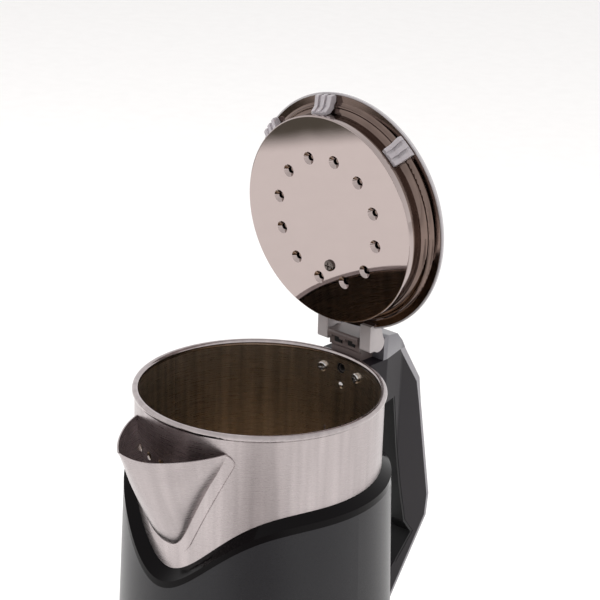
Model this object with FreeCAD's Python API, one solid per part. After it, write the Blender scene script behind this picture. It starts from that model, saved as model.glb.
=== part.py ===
import FreeCAD, Part
import math
import os

# Electric kettle on its power base. Millimetres, +Z up, spout towards -Y, handle towards +Y.
# The origin is the centre of the power base's foot ring, on the table. The lid stands open.

# --- driving dimensions -------------------------------------------------------------------
RIM_Z = 222.0          # top of the pot's rolled rim above the table
POT_R = 67.3           # outside radius of the steel pot
POT_WALL = 1.0
BEAD_R = 1.8           # radius of the rolled rim
POT_FLOOR_Z = 46.0     # underside of the pot floor
BASE_TOP_Z = 19.0      # seat of the power base
JUG_BOTTOM_Z = 19.4    # underside of the jug when it stands on the base
BASE_R = 82.0
SHELL_TOP_R = 72.6     # outer shell radius at its top edge
SHELL_FOOT_R = 78.3    # outer shell radius at its foot
SHELL_FOOT_Z = 31.0
SHELL_WALL = 2.5
LIP_DEPTH = 3.6        # height of the sealing lip between pot and shell
LIP_FALL = 0.70        # how far the lip's top falls per millimetre outwards
GAP = 0.05             # clearance between neighbouring pieces of one body
RUN = 0.30             # clearance between pieces of different bodies
HINGE_Y = 75.0
HINGE_Z = RIM_Z + 8.5
PIN_R = 1.6
OPEN_ANGLE = 85.0      # from lid shut to lid open
LID_TWIST = -4.5       # the lid's inner parts are turned this far about the lid's own axis
PLATE_R = 58.3
PLATE_Z = RIM_Z - 11.0
FLANGE_R = 66.2
COVER_R = 67.2
HANDLE_HALF = 14.0     # half the width of the grip
HEAD_HALF = 19.0       # half the width of the handle's head behind the hinge

X_AXIS = FreeCAD.Vector(1, 0, 0)
Y_AXIS = FreeCAD.Vector(0, 1, 0)
Z_AXIS = FreeCAD.Vector(0, 0, 1)


def vec(x, y, z):
    return FreeCAD.Vector(x, y, z)


def polar(radius, angle, z):
    """A point at an angle in degrees, counted from the spout towards +X."""
    a = math.radians(angle)
    return vec(radius * math.sin(a), -radius * math.cos(a), z)


def outward(angle):
    return polar(1.0, angle, 0.0)


def path_edges(points, closed=True):
    """Lines through 3-D points. A point given as [middle, end] is reached by an arc."""
    edges, here = [], points[0]
    for item in points[1:]:
        if isinstance(item, list):
            edges.append(Part.Arc(here, item[0], item[1]).toShape())
            here = item[1]
        else:
            edges.append(Part.LineSegment(here, item).toShape())
            here = item
    if closed and here.distanceToPoint(points[0]) > 1e-6:
        edges.append(Part.LineSegment(here, points[0]).toShape())
    return edges


def lathe(profile, centre=None):
    """Turn a closed (radius, z) outline about the vertical. Four numbers make an arc: middle, end."""
    points = []
    for item in profile:
        if len(item) == 4:
            points.append([vec(item[0], 0, item[1]), vec(item[2], 0, item[3])])
        else:
            points.append(vec(item[0], 0, item[1]))
    face = Part.Face(Part.Wire(path_edges(points)))
    solid = face.revolve(vec(0, 0, 0), Z_AXIS, 360)
    if centre is not None:
        solid.translate(centre)
    return solid


def dome_arc(edge_r, edge_z, top_z):
    """An arc from an edge up to the axis, as part of a sphere: middle, end."""
    sag = top_z - edge_z
    sphere = (edge_r ** 2 + sag ** 2) / (2 * sag)
    half = 0.5 * edge_r
    return (half, top_z - sphere + math.sqrt(sphere ** 2 - half ** 2), 0, top_z)


def ring(outer, inner, z0, z1, centre=None):
    return lathe([(inner, z0), (outer, z0), (outer, z1), (inner, z1)], centre)


def rod(radius, start, end):
    axis = end.sub(start)
    return Part.makeCylinder(radius, axis.Length, start, axis)


def block(x0, x1, y0, y1, z0, z1):
    return Part.makeBox(x1 - x0, y1 - y0, z1 - z0, vec(x0, y0, z0))


def rounded_wire(points, radii, closed=True):
    """A polyline through 3-D points with a tangent arc of the given radius at each corner."""
    count = len(points)
    edges, last, first = [], None, None
    span = range(count) if closed else range(1, count - 1)
    if not closed:
        last = points[0]
    for i in span:
        corner = points[i]
        back = points[i - 1].sub(corner).normalize()
        ahead = points[(i + 1) % count].sub(corner).normalize()
        radius = radii[i] if isinstance(radii, (list, tuple)) else radii
        if radius > 0:
            half = 0.5 * back.getAngle(ahead)
            reach = radius / math.tan(half)
            start = corner.add(vec(back.x * reach, back.y * reach, back.z * reach))
            end = corner.add(vec(ahead.x * reach, ahead.y * reach, ahead.z * reach))
            bisector = back.add(ahead).normalize()
            depth = radius / math.sin(half) - radius
            middle = corner.add(vec(bisector.x * depth, bisector.y * depth, bisector.z * depth))
            if last is not None and last.distanceToPoint(start) > 1e-6:
                edges.append(Part.LineSegment(last, start).toShape())
            edges.append(Part.Arc(start, middle, end).toShape())
        else:
            start = end = corner
            if last is not None:
                edges.append(Part.LineSegment(last, corner).toShape())
        if first is None:
            first = start
        last = end
    target = first if closed else points[-1]
    if last.distanceToPoint(target) > 1e-6:
        edges.append(Part.LineSegment(last, target).toShape())
    return Part.Wire(edges)


def side_plate(outline, radii, x0, x1):
    """A plate between two X positions from an outline of (y, height above or below the rim)."""
    points = [vec(x0, y, RIM_Z + z) for y, z in outline]
    return Part.Face(rounded_wire(points, radii)).extrude(vec(x1 - x0, 0, 0))


def turned(shape, angle, centre=None, axis=Z_AXIS):
    copy = shape.copy()
    copy.rotate(centre or vec(0, 0, 0), axis, angle)
    return copy


def open_lid(shape):
    """Swing a lid piece from its shut place to its open one."""
    return turned(shape, -OPEN_ANGLE, vec(0, HINGE_Y, HINGE_Z), X_AXIS)


def pan_screw(start, direction, length, radius, head):
    """A pan-head screw whose shank runs from start along direction, with a cross slot."""
    d = vec(direction.x, direction.y, direction.z).normalize()
    shank = Part.makeCylinder(radius, length, start, d)
    thick = 0.5 * head
    top = start.sub(vec(d.x * thick, d.y * thick, d.z * thick))
    cap = Part.makeCylinder(head, thick, top, d)
    rim = [e for e in cap.Edges if abs(e.CenterOfMass.sub(top).Length) < 1e-3 and len(e.Vertexes) == 1]
    cap = cap.makeFillet(0.6 * thick, rim)
    slot = Part.makeBox(1.3 * head, 0.25 * head, 0.5 * thick, vec(-0.65 * head, -0.125 * head, 0))
    cross = slot.fuse(turned(slot, 90))
    cross.Placement = FreeCAD.Placement(top, FreeCAD.Rotation(Z_AXIS, d))
    return cap.cut(cross).fuse(shank)


def coil_spring(wire, radius, pitch, turns, start, direction):
    helix = Part.makeHelix(pitch, pitch * turns, radius)
    section = Part.Wire([Part.makeCircle(wire, vec(radius, 0, 0), Y_AXIS)])
    spring = Part.Wire(helix.Edges).makePipeShell([section], True, True)
    spring.Placement = FreeCAD.Placement(start, FreeCAD.Rotation(Z_AXIS, direction))
    return spring


def save(name, *solids):
    kept = []
    for item in solids:
        for solid in item if isinstance(item, (list, tuple)) else [item]:
            kept.extend(solid.Solids)
    for solid in kept:
        if not solid.isValid() or solid.Volume <= 0:
            print("CHECK", name, "valid", solid.isValid(), "volume", round(solid.Volume, 2))
    shape = kept[0] if len(kept) == 1 else Part.makeCompound(kept)
    shape.exportStep("parts/%s.step" % name)
    print("%-22s %2d solid(s) %10.1f mm3" % (name, len(kept), sum(s.Volume for s in kept)))


# --- steel pot ----------------------------------------------------------------------------
VENT_Z = RIM_Z - 9.5
SCREW_Z = RIM_Z - 11.5
SCREW_ANGLES = (180 - 11, 180 + 11)
RIVET_Z = RIM_Z - 20.0
HOLE_R = 2.25
HOLE_PITCH = 9.6
HOLE_ROWS = ((-27.0, 6), (-35.0, 5), (-43.0, 4))   # height from the rim, holes in the row


def filter_holes():
    drills = []
    for height, count in HOLE_ROWS:
        for i in range(count):
            angle = (i - 0.5 * (count - 1)) * HOLE_PITCH
            start = polar(POT_R - 4, angle, RIM_Z + height)
            drills.append(Part.makeCylinder(HOLE_R, 8, start, outward(angle)))
    return drills


def inner_pot():
    inner = POT_R - POT_WALL
    corner = 8.0
    z0, z1 = POT_FLOOR_Z, RIM_Z - BEAD_R
    bend = 1 - math.sqrt(0.5)
    wall = lathe([
        (0, z0), (POT_R - corner, z0),
        (POT_R - bend * corner, z0 + bend * corner, POT_R, z0 + corner),
        (POT_R, z1), (inner, z1), (inner, z0 + corner),
        (inner - bend * (corner - 1), z0 + 1 + bend * (corner - 1), POT_R - corner, z0 + 1),
        (0, z0 + 1)])
    bead = Part.makeTorus(POT_R - 0.5, BEAD_R, vec(0, 0, z1), Z_AXIS)
    drills = filter_holes()
    drills.append(Part.makeCylinder(3.0, 8, polar(POT_R - 4, 180, VENT_Z), outward(180)))
    drills.append(Part.makeCylinder(1.25, 8, polar(POT_R - 4, 180, RIVET_Z), outward(180)))
    for angle in SCREW_ANGLES:
        drills.append(Part.makeCylinder(1.75, 8, polar(POT_R - 4, angle, SCREW_Z), outward(angle)))
    return wall.fuse(bead).cut(drills)


# --- spout --------------------------------------------------------------------------------
SEAM_TOP = -11.4        # heights from the rim
SEAM_HALF = 39.9
SEAM_APEX = -101.5
# height, half-width at the wall, distance of the nose from the axis
BEAK = ((-1.0, 34.6, 105.5), (-5.0, 34.4, 102.6), (-9.0, 34.2, 99.9), (-14.0, 33.3, 97.0),
        (-28.0, 27.1, 90.3), (-42.0, 20.8, 83.5), (-54.0, 15.6, 77.7), (-63.0, 11.4, 73.2),
        (-68.0, 7.5, 69.7), (-70.4, 3.4, 67.7))
BEAK_BACK = -52.0


def beak_section(height, half, nose, steps=7):
    """A horizontal outline: straight at the back, rounded to the nose, which is blunter lower down."""
    blunt = min(1.0, max(0.0, (-14.0 - height) / 30.0))
    wall_y = -math.sqrt(POT_R ** 2 - half ** 2)
    right = []
    for i in range(steps + 1):
        t = math.sin(0.5 * math.pi * i / steps)
        x = half * max(0.0, 1 - t ** (1.35 + 0.55 * blunt)) ** (0.65 - 0.13 * blunt)
        right.append(vec(x, wall_y - t * (nose + wall_y), RIM_Z + height))
    left = [vec(-p.x, p.y, p.z) for p in reversed(right[:-1])]
    curve = Part.BSplineCurve()
    curve.interpolate(right + left)
    back_right = vec(half, BEAK_BACK, RIM_Z + height)
    back_left = vec(-half, BEAK_BACK, RIM_Z + height)
    return Part.Wire([
        Part.LineSegment(back_right, right[0]).toShape(), curve.toShape(),
        Part.LineSegment(left[-1], back_left).toShape(),
        Part.LineSegment(back_left, back_right).toShape()])


def beak(inset):
    wires = [beak_section(h, max(w - inset, 1.2), n - 1.1 * inset) for h, w, n in BEAK]
    return Part.makeLoft(wires, True, False)


def above_lip():
    """Everything above the pouring edge, which is level and then rises to the tip."""
    edge = Part.BSplineCurve()
    edge.interpolate([vec(-60, -50, RIM_Z - 11.4), vec(-60, -68, RIM_Z - 11.6),
                      vec(-60, -84, RIM_Z - 12.6), vec(-60, -96, RIM_Z - 11.4),
                      vec(-60, -101, RIM_Z - 7.6), vec(-60, -104, RIM_Z - 3.0)])
    top = RIM_Z + 20
    face = Part.Face(Part.Wire([
        edge.toShape(), Part.LineSegment(vec(-60, -104, RIM_Z - 3.0), vec(-60, -120, RIM_Z + 4)).toShape(),
        Part.LineSegment(vec(-60, -120, RIM_Z + 4), vec(-60, -120, top)).toShape(),
        Part.LineSegment(vec(-60, -120, top), vec(-60, -50, top)).toShape(),
        Part.LineSegment(vec(-60, -50, top), vec(-60, -50, RIM_Z - 11.4)).toShape()]))
    return face.extrude(vec(120, 0, 0))


def spout():
    corners = [vec(-SEAM_HALF, -40, RIM_Z + SEAM_TOP), vec(SEAM_HALF, -40, RIM_Z + SEAM_TOP),
               vec(0, -40, RIM_Z + SEAM_APEX)]
    patch = Part.Face(rounded_wire(corners, [5, 5, 17.4])).extrude(vec(0, -40, 0))
    patch = patch.common(ring(POT_R + 0.75, POT_R + GAP, RIM_Z - 90, RIM_Z))
    outer, inner = beak(0.0), beak(0.9)
    bore = Part.makeCylinder(POT_R + GAP, 120, vec(0, 0, RIM_Z - 100))
    shell = outer.fuse(patch).cut([inner, bore, above_lip()])
    return max(shell.Solids, key=lambda s: s.Volume)


# --- outer shell, its sealing lip and the wavy boundary between steel and plastic -----------
WAVE_HIGH = -43.5
WAVE_DIP = 41.0
WAVE_WIDTH = 32.0       # degrees
WAVE_POWER = 1.95
WAVE_STEPS = 60


def wave(angle):
    """Height of the boundary from the rim, which dips under the spout."""
    off = abs((angle + 180) % 360 - 180)
    return WAVE_HIGH - WAVE_DIP * math.exp(-(off / WAVE_WIDTH) ** WAVE_POWER)


def above_wave(drop):
    """Everything above the boundary, lowered by drop. It falls outwards like the lip's top."""
    rails = []
    for radius in (60.0, 86.0):
        curve = Part.BSplineCurve()
        fall = LIP_FALL * (radius - POT_R)
        angles = [180 + 360 * i / WAVE_STEPS for i in range(WAVE_STEPS)]
        points = [polar(radius, a, RIM_Z + wave(a) - fall - drop) for a in angles]
        curve.interpolate(Points=points, PeriodicFlag=True)
        rails.append(curve.toShape())
    return Part.makeRuledSurface(rails[0], rails[1]).extrude(vec(0, 0, 140))


def shell_radius(z):
    slope = (SHELL_FOOT_R - SHELL_TOP_R) / (RIM_Z - 40 - SHELL_FOOT_Z)
    return SHELL_FOOT_R - slope * (z - SHELL_FOOT_Z)


def shell_blank(inner_top, inner_foot, top):
    foot = SHELL_FOOT_Z
    return lathe([(inner_foot, foot), (SHELL_FOOT_R, foot), (shell_radius(top), top), (inner_top, top)])


def outer_shell():
    top = RIM_Z - 40
    blank = shell_blank(shell_radius(top) - SHELL_WALL, SHELL_FOOT_R - SHELL_WALL, top)
    return blank.cut(above_wave(LIP_DEPTH + GAP))


def shell_lip():
    top = RIM_Z - 40
    blank = shell_blank(POT_R + GAP, POT_R + GAP, top)
    band = blank.cut(above_wave(0.0))
    return band.common(above_wave(LIP_DEPTH))


# --- heater, controls and the jug's underside -----------------------------------------------
HEATER_R = 56.0
HEATER_Z = POT_FLOOR_Z - 4.4
SOCKET_R = 17.0         # jug connector's outside radius
SOCKET_BORE = 12.1
SPIGOT_R = 11.7
FOOT_SCREWS = (60, 180, 300)


def heater_plate():
    plate = Part.makeCylinder(HEATER_R, POT_FLOOR_Z - GAP - HEATER_Z, vec(0, 0, HEATER_Z))
    groove = Part.makeTorus(38, 3.6, vec(0, 0, HEATER_Z - 1.2), Z_AXIS)
    return plate.cut(groove)


def heating_element():
    coil = Part.makeTorus(38, 3.5, vec(0, 0, HEATER_Z - 1.2), Z_AXIS, -180, 180, 310)
    coil = turned(coil, 115)
    ends = []
    for angle in (115, 65):
        a = math.radians(angle)
        foot = vec(38 * math.cos(a), 38 * math.sin(a), HEATER_Z - 7)
        ends.append(rod(1.6, foot, foot.add(vec(0, 0, 6))))
    return coil.fuse(ends)


def upright_edges(shape):
    return [e for e in shape.Edges if abs(e.tangentAt(e.FirstParameter).z) > 0.9]


def thermostat_control():
    body = block(-24, 24, 19.5, 32.4, 25.0, 36.5)
    body = body.makeFillet(1.5, upright_edges(body))
    posts = [rod(2.0, vec(x, y, 36), vec(x, y, 40)) for x, y in ((-20.5, 24), (0, 30), (20.5, 24))]
    return body.fuse(posts)


def bimetal_discs():
    dome = lathe([(0, 40.2), (8.5, 39.3), (8.5, 39.8), (0, 40.8)])
    hole = Part.makeCylinder(1.0, 4, vec(0, 0, 38))
    disc = dome.cut(hole)
    discs = []
    for x in (-10.0, 10.0):
        copy = disc.copy()
        copy.translate(vec(x, 22.0, 0))
        discs.append(copy)
    return discs


def bottom_cover():
    foot = JUG_BOTTOM_Z
    r = SHELL_FOOT_R
    z = SHELL_FOOT_Z - GAP
    hub = SOCKET_R + RUN
    cover = lathe([
        (hub, foot + 3.5), (29, foot + 3.5), (32, foot + 1.5), (60, foot + 1.5), (62, foot),
        (r - 7.5, foot), (r - 1.8, foot + 2.6, r, foot + 8), (r, z), (r - SHELL_WALL, z),
        (r - SHELL_WALL, z + 5), (r - SHELL_WALL - 1.8, z + 4.8), (r - SHELL_WALL - 1.8, foot + 8),
        (r - 5, foot + 3.6, r - 9, foot + 2.2), (63, foot + 2.2), (61, foot + 3.7),
        (33, foot + 3.7), (30, foot + 5.5), (hub + 2, foot + 5.5), (hub + 2, foot + 9.5), (hub, foot + 9.5)])
    inner_lip = ring(r - SHELL_WALL + 0.5, r - SHELL_WALL - 0.35, z, z + 6)
    posts = []
    for angle in FOOT_SCREWS:
        centre = polar(45, angle, foot + 3.6)
        posts.append(Part.makeCylinder(4.0, 10, centre))
    holes = [Part.makeCylinder(1.6, 20, polar(45, a, foot)) for a in FOOT_SCREWS]
    sinks = [Part.makeCylinder(3.3, 3.6, polar(45, a, foot + 1)) for a in FOOT_SCREWS]
    return cover.cut(inner_lip).fuse(posts).cut(holes + sinks)


def bottom_screws():
    screws = []
    for angle in FOOT_SCREWS:
        screws.append(pan_screw(polar(45, angle, JUG_BOTTOM_Z + 4.6 - GAP), Z_AXIS, 10.5, 1.5, 3.0))
    return screws


def jug_connector():
    foot = JUG_BOTTOM_Z + 1.8
    return lathe([
        (SOCKET_BORE, foot + 0.8), (SOCKET_BORE + 0.8, foot), (SOCKET_R, foot), (SOCKET_R, foot + 9),
        (SOCKET_R, foot + 13), (2.6, foot + 13), (2.6, foot + 3.5), (3.8, foot + 3.5),
        (3.8, foot + 11), (SOCKET_BORE, foot + 11)])


# --- handle -------------------------------------------------------------------------------
# Outlines are (y, height from the rim). The back runs from the head down to the foot.
BACK = ((106.1, -3.2), (121.5, -26.5), (124.0, -42.0), (131.0, -78.0), (137.0, -107.5),
        (135.6, -121.5), (104.0, -168.0), (86.0, -194.5))
BACK_WEDGE = ((101.4, -3.2), (118.6, -28.2))   # the cover is thicker under the head
FRONT = ((79.0, -166.5), (107.0, -142.5), (121.0, -128.0), (113.5, -118.5), (107.0, -92.0),
         (99.6, -54.0), (95.0, -31.0), (66.0, -29.5))
BACK_THICK = 2.2
LINER_THICK = 1.6


def offset_line(points, distance):
    """Move an open (y, z) polyline sideways: positive is towards the pot for the back line."""
    moved = []
    for i, (y, z) in enumerate(points):
        before = points[max(i - 1, 0)]
        after = points[min(i + 1, len(points) - 1)]
        dirs = []
        for a, b in ((before, (y, z)), ((y, z), after)):
            length = math.hypot(b[0] - a[0], b[1] - a[1])
            if length > 1e-9:
                dirs.append(((b[0] - a[0]) / length, (b[1] - a[1]) / length))
        ny = sum(d[1] for d in dirs) / len(dirs)
        nz = -sum(d[0] for d in dirs) / len(dirs)
        size = math.hypot(ny, nz)
        cos_half = size
        moved.append((y + ny / size * distance / cos_half, z + nz / size * distance / cos_half))
    return moved


def body_space():
    """The room that the pot, its rim and the shell take, to cut handle pieces to fit."""
    pot = Part.makeCylinder(POT_R + GAP, 200, vec(0, 0, RIM_Z - 195))
    rim = Part.makeCylinder(POT_R + BEAD_R + 0.1, 12, vec(0, 0, RIM_Z - 4.2))
    blank = lathe([
        (0, SHELL_FOOT_Z - 12), (SHELL_FOOT_R + GAP, SHELL_FOOT_Z - 12), (SHELL_FOOT_R + GAP, SHELL_FOOT_Z),
        (shell_radius(RIM_Z - 44.5) + GAP, RIM_Z - 44.5), (0, RIM_Z - 44.5)])
    return [pot, rim, blank]


def plan_limit(grow):
    """The handle's outline from above: wide behind the hinge, then narrowing to the grip."""
    w, n = HEAD_HALF + grow, HANDLE_HALF + grow
    corners = [vec(-w, 60, 0), vec(-w, 84, 0), vec(-n, 103, 0), vec(-n, 145, 0),
               vec(n, 145, 0), vec(n, 103, 0), vec(w, 84, 0), vec(w, 60, 0)]
    return Part.Face(rounded_wire(corners, [0, 6, 12, 0, 0, 12, 6, 0])).extrude(vec(0, 0, RIM_Z + 20))


def grip_outline(back_gap, front_gap):
    back = offset_line(BACK, back_gap)
    front = offset_line(FRONT, front_gap)
    return back + front


def back_inside(shift=0.0):
    """The inner line of the back cover, moved towards the pot by shift."""
    line = list(BACK_WEDGE) + offset_line(BACK, BACK_THICK)[2:]
    return offset_line(line, shift) if shift else line


def handle_cavity():
    """The hollow of the grip, open to the back cover and into the head."""
    back = back_inside(-2.0)
    front = offset_line(FRONT, LINER_THICK + 2.6)
    return [(71.5, -5.6), (back[0][0] - 4.0, -5.6)] + back[1:-1] + front[1:-1] + [(71.5, -27.0)]


LEVER_Y, LEVER_Z = 94.0, -168.0        # switch pivot, height from the rim
LEVER_OUT = (0.828, -0.5608)
LEVER_UP = (0.5608, 0.828)
LEVER_THROW = 20.0                      # degrees from off to on
LEVER_HALF = 8.0
LENS_Y, LENS_Z = 119.8, -144.8
LENS_R = 3.0


def lever_box(u0, u1, v0, v1, half):
    """A box round the switch pivot: u runs out through the back cover, v up along it."""
    points = []
    for u, v in ((u0, v0), (u1, v0), (u1, v1), (u0, v1)):
        y = LEVER_Y + u * LEVER_OUT[0] + v * LEVER_UP[0]
        z = LEVER_Z + u * LEVER_OUT[1] + v * LEVER_UP[1]
        points.append((y, z))
    return side_plate(points, 0, -half, half)



def lever_pocket():
    return lever_box(-6.0, 30.0, -6.5, 6.5, LEVER_HALF + 0.7)


def lever_slot():
    return lever_box(0.0, 30.0, -4.6, 4.6, LEVER_HALF + 0.7)


def lens_axis(back, ahead):
    middle = vec(0, LENS_Y, RIM_Z + LENS_Z)
    out = vec(0, LEVER_OUT[0], LEVER_OUT[1])
    return (middle.add(vec(0, out.y * back, out.z * back)), middle.add(vec(0, out.y * ahead, out.z * ahead)))


def screw_holes(radius):
    return [Part.makeCylinder(radius, 12, polar(POT_R - 2, a, SCREW_Z), outward(a)) for a in SCREW_ANGLES]


def handle_grip():
    outline = [(66.0, -3.2)] + back_inside(GAP) + list(FRONT)
    body = side_plate(outline, 0, -HEAD_HALF, HEAD_HALF).common(plan_limit(0))
    cavity = side_plate(handle_cavity(), 0, -HANDLE_HALF + 2.6, HANDLE_HALF - 2.6)
    vent = Part.makeCylinder(3.1, 12, vec(0, POT_R - 2, VENT_Z), Y_AXIS)
    rivet = Part.makeCylinder(1.25, 9, vec(0, POT_R - 2, RIVET_Z), Y_AXIS)
    pin = rod(1.22, vec(-20, LEVER_Y, RIM_Z + LEVER_Z), vec(20, LEVER_Y, RIM_Z + LEVER_Z))
    lens = rod(LENS_R + 0.1, *lens_axis(-6, 6))
    tools = body_space() + [cavity, liner_blank(GAP), vent, rivet, pin, lens, lever_pocket(), tube_rod(2.7)]
    return body.cut(tools + screw_holes(1.75))


def liner_outline(grow, lift):
    line = FRONT[1:-1]
    return offset_line(line, lift) + list(reversed(offset_line(line, LINER_THICK + grow)))


def liner_blank(grow):
    half = HEAD_HALF + 1.0
    return side_plate(liner_outline(grow, -1.0), 0, -half, half)


def handle_liner():
    strip = side_plate(liner_outline(0.0, 0.0), 0, -HEAD_HALF, HEAD_HALF)
    return strip.common(plan_limit(-0.2))


def handle_back():
    outline = list(BACK) + list(reversed(back_inside()))
    limit = plan_limit(-0.3)
    strip = side_plate(outline, 0, -HEAD_HALF, HEAD_HALF).common(limit)
    return strip.cut(body_space() + [lever_slot(), rod(LENS_R + 0.05, *lens_axis(-8, 6))])


def indicator_lens():
    start, end = lens_axis(-3.2, 0.5)
    lens = rod(LENS_R, start, end)
    rim = [e for e in lens.Edges if len(e.Vertexes) == 1 and e.CenterOfMass.distanceToPoint(end) < 1e-3]
    return lens.makeFillet(0.7, rim)


def switch_lever():
    """A paddle on a hub, made square to the slot and then swung up to its off place."""
    pivot = vec(0, LEVER_Y, RIM_Z + LEVER_Z)
    paddle = lever_box(0.0, 20.5, -1.7, 1.7, LEVER_HALF)
    tips = [e for e in paddle.Edges if e.Length < 3.5 and lever_reach(e) > 15]
    paddle = paddle.makeFillet(3.0, tips)
    hub = rod(3.4, vec(-LEVER_HALF, pivot.y, pivot.z), vec(LEVER_HALF, pivot.y, pivot.z))
    bore = rod(1.26, vec(-20, pivot.y, pivot.z), vec(20, pivot.y, pivot.z))
    return turned(paddle.fuse(hub).cut(bore), 0.5 * LEVER_THROW, pivot, X_AXIS)


def lever_reach(edge):
    middle = edge.CenterOfMass
    return (middle.y - LEVER_Y) * LEVER_OUT[0] + (middle.z - RIM_Z - LEVER_Z) * LEVER_OUT[1]


def lever_pin():
    z = RIM_Z + LEVER_Z
    return rod(1.2, vec(-HANDLE_HALF + 0.6, LEVER_Y, z), vec(HANDLE_HALF - 0.6, LEVER_Y, z))


def handle_screws():
    return [pan_screw(polar(POT_R - POT_WALL - 0.1, a, SCREW_Z), outward(a), 9.0, 1.7, 3.0)
            for a in SCREW_ANGLES]


def wall_rivet():
    head = Part.makeSphere(2.6, polar(POT_R - POT_WALL + 1.5, 180, RIVET_Z))
    head = head.common(Part.makeCylinder(POT_R - POT_WALL - GAP, 12, vec(0, 0, RIVET_Z - 6)))
    return head.fuse(Part.makeCylinder(1.2, 5.5, polar(POT_R - POT_WALL - 0.4, 180, RIVET_Z), outward(180)))


TUBE_ROUTE = ((67.7, -9.5), (90.0, -11.0), (108.5, -34.0), (113.5, -58.0), (119.0, -94.0),
              (126.0, -116.0))


def tube_rod(radius):
    points = [vec(0, y, RIM_Z + z) for y, z in TUBE_ROUTE]
    path = rounded_wire(points, 12.0, closed=False)
    section = Part.Wire([Part.makeCircle(radius, points[0], points[1].sub(points[0]))])
    return path.makePipeShell([section], True, False)


def steam_tube():
    return tube_rod(2.6).cut(tube_rod(1.8))


# --- hinge, latch and release button --------------------------------------------------------
BLOCK_HALF = 11.0
BLOCK_FRONT = 66.0
WINDOW_X = 5.0
ARM_IN, ARM_OUT = 12.0, 19.6
BUTTON_HALF = 6.0
BUTTON_Y = (86.3, 95.2)
BUTTON_TRAVEL = 2.0
LATCH_TRAVEL = 2.2


def hinge_rod(radius, half):
    return rod(radius, vec(-half, HINGE_Y, HINGE_Z), vec(half, HINGE_Y, HINGE_Z))


def latch_space(grow, back):
    """Room for the latch: two windows, their slots under the pin and the cross-bar behind."""
    z = RIM_Z
    pieces = []
    for x in (-WINDOW_X, WINDOW_X):
        w = 2.5 + grow
        pieces.append(block(x - w, x + w, BLOCK_FRONT - 1, 72.9, z + 4.6 - grow, z + 8.6 + grow))
        pieces.append(block(x - w, x + w, BLOCK_FRONT - 1, back, z + 4.6 - grow, z + 6.4 + grow))
    return pieces


def hinge_block():
    outline = [(66.0, 2.6), (66.0, 11.8), (80.4, 11.8), (80.4, -3.1), (70.2, -3.1), (70.2, 2.6)]
    body = side_plate(outline, [0.8, 1.6, 0, 0, 0, 1.5], -BLOCK_HALF, BLOCK_HALF)
    tools = latch_space(RUN, 82.0) + [hinge_rod(PIN_R + 0.02, 30)]
    return body.cut(tools + [body_space()[1]])


def hinge_cap():
    outline = [(80.5, -3.15), (80.5, 10.4), (84.0, 11.2), (96.0, 8.5), (103.0, 1.9), (106.0, -3.15)]
    body = side_plate(outline, [0, 1.5, 6, 3, 6, 0], -HEAD_HALF, HEAD_HALF).common(plan_limit(0))
    well = block(-BUTTON_HALF - RUN, BUTTON_HALF + RUN, BUTTON_Y[0] - RUN, BUTTON_Y[1] + RUN,
                 RIM_Z - 2.0, RIM_Z + 20)
    bar = block(-9.0, 9.0, 79.0, 86.0, RIM_Z + 4.2, RIM_Z + 6.8)
    return body.cut([well, bar])


def hinge_pin():
    return hinge_rod(PIN_R, ARM_OUT - 1.6)


def lid_springs():
    coil = coil_spring(0.35, 2.45, 1.0, 3, vec(ARM_IN + 0.5, HINGE_Y, HINGE_Z), X_AXIS)
    return [coil, turned(coil, 180, vec(0, HINGE_Y, HINGE_Z))]


def lid_latch():
    z = RIM_Z
    pieces = []
    for x in (-WINDOW_X, WINDOW_X):
        pieces.append(block(x - 2.5, x + 2.5, 68.4, 70.2, z + 4.6, z + 8.6))
        pieces.append(block(x - 2.5, x + 2.5, 68.4, 83.2, z + 4.6, z + 6.4))
    bar = block(-7.5, 7.5, 80.9, 83.2, z + 4.6, z + 6.4)
    return bar.fuse(pieces).removeSplitter()


def release_button():
    y0, y1 = BUTTON_Y
    outline = [(y0, 3.6), (y0, 11.2), (y1, 9.2), (y1, 3.6)]
    body = side_plate(outline, [0, 1.0, 1.0, 0], -BUTTON_HALF, BUTTON_HALF)
    hollow = block(-BUTTON_HALF + 1.5, BUTTON_HALF - 1.5, y0 + 1.5, y1 - 1.5, RIM_Z, RIM_Z + 7.3)
    return body.cut(hollow)


def button_spring():
    return coil_spring(0.35, 2.3, 1.2, 5, vec(0, 0.5 * sum(BUTTON_Y), RIM_Z - 1.6), Z_AXIS)


# --- lid, drawn shut ------------------------------------------------------------------------
CLIP_ANGLES = (-47.5, -4.5, 47.5)
LID_SCREW_R = 25.7
DRIP_RING = 35.2
DRIP_HOLES = 12
DISH_R = 3.6            # each drip hole is at the foot of a small dish
HOLE_FOOT_R = 1.7
DISH_DEPTH = 1.7


def lid_lathe(profile):
    """A lid piece from an outline whose heights are from the rim."""
    raised = []
    for item in profile:
        raised.append(tuple(v + RIM_Z if i % 2 else v for i, v in enumerate(item)))
    return lathe(raised)


def arm_shape(grow):
    """Both hinge arms in their open place, with the bar that joins them inside the cover."""
    arms = []
    outline = [(67.2, 4.8), (67.2, 20.5), (75.6, 20.5), (78.9, 11.5), (77.0, 4.8)]
    for side in (-1, 1):
        x0, x1 = sorted((side * (ARM_IN - grow), side * (ARM_OUT + grow)))
        plate = side_plate(outline, [1.5, 0, 2.0, 3.0, 2.5], x0, x1)
        hub = rod(4.9 + grow, vec(x0, HINGE_Y, HINGE_Z), vec(x1, HINGE_Y, HINGE_Z))
        arms.append(plate.fuse(hub))
    return arms


def bracket_bar(grow):
    half = ARM_OUT - 3.0 + grow
    return open_lid(block(-half, half, 58.6 - grow, 63.6, RIM_Z + 5.5 - grow, RIM_Z + 8.4 + grow))


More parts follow.
